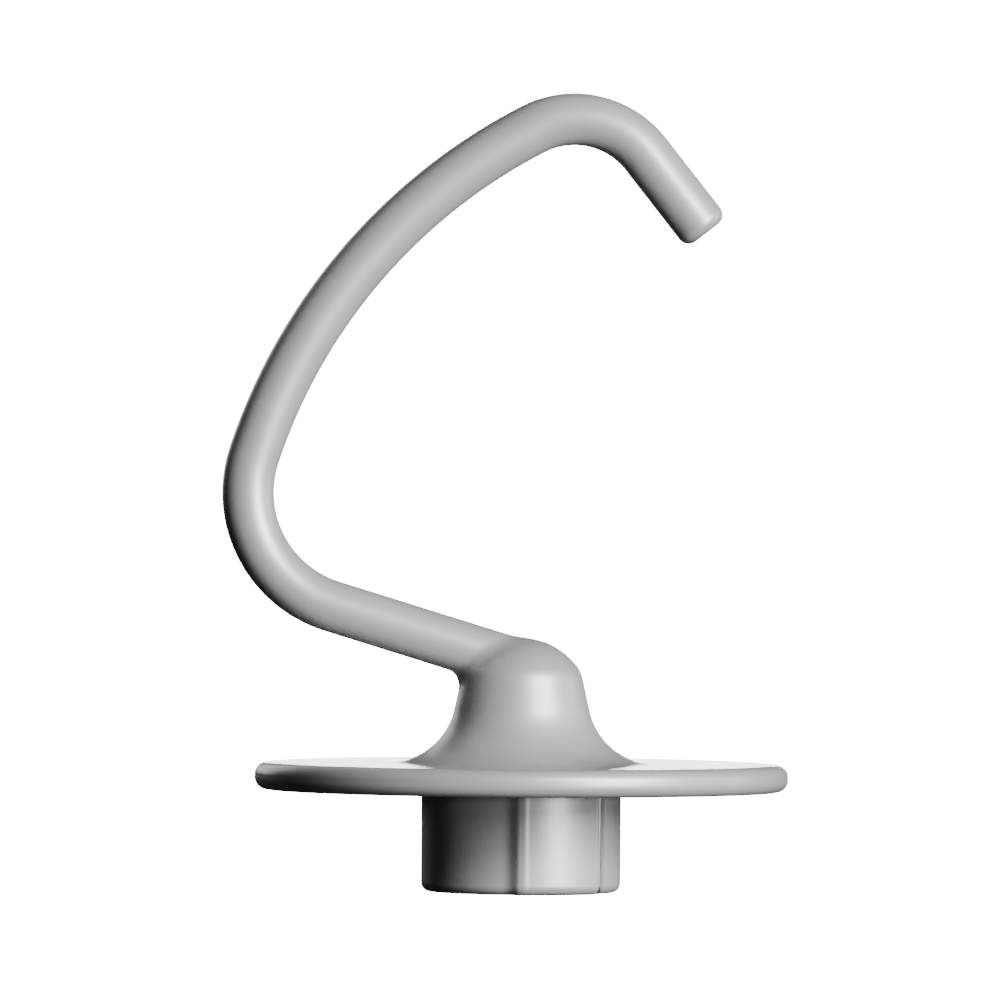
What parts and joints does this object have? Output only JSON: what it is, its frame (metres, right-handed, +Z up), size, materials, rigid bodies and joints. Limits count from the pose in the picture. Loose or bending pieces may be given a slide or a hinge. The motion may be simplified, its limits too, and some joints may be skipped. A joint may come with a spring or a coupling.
{
  "type": "stand mixer dough hook",
  "caption": "C-shaped dough hook with a domed hub, a round dough guard and a bayonet drive collar, in a grey coat, standing on its collar.",
  "frame": {"origin": "on the socket's axis at the collar's end face", "axes": "+Z up the socket's axis to the hook, the hook's arm in the XZ plane with its belly to -X, the slot pad towards -Y and +X"},
  "size_m": [0.1082, 0.1016, 0.1521],
  "materials": {
    "hook_arm": "bent bar, bare under the coat",
    "hub_dome": "turned, bare under the coat",
    "dough_guard": "turned, bare under the coat",
    "drive_collar": "bare machined socket and mouth, the rest under the coat",
    "coating": "satin grey nylon coat"
  },
  "bodies": {
    "root": {"hook_arm": "hook_arm", "hub_dome": "hub_dome", "dough_guard": "dough_guard", "drive_collar": "drive_collar", "coating": "coating"}
  },
  "joints": []
}
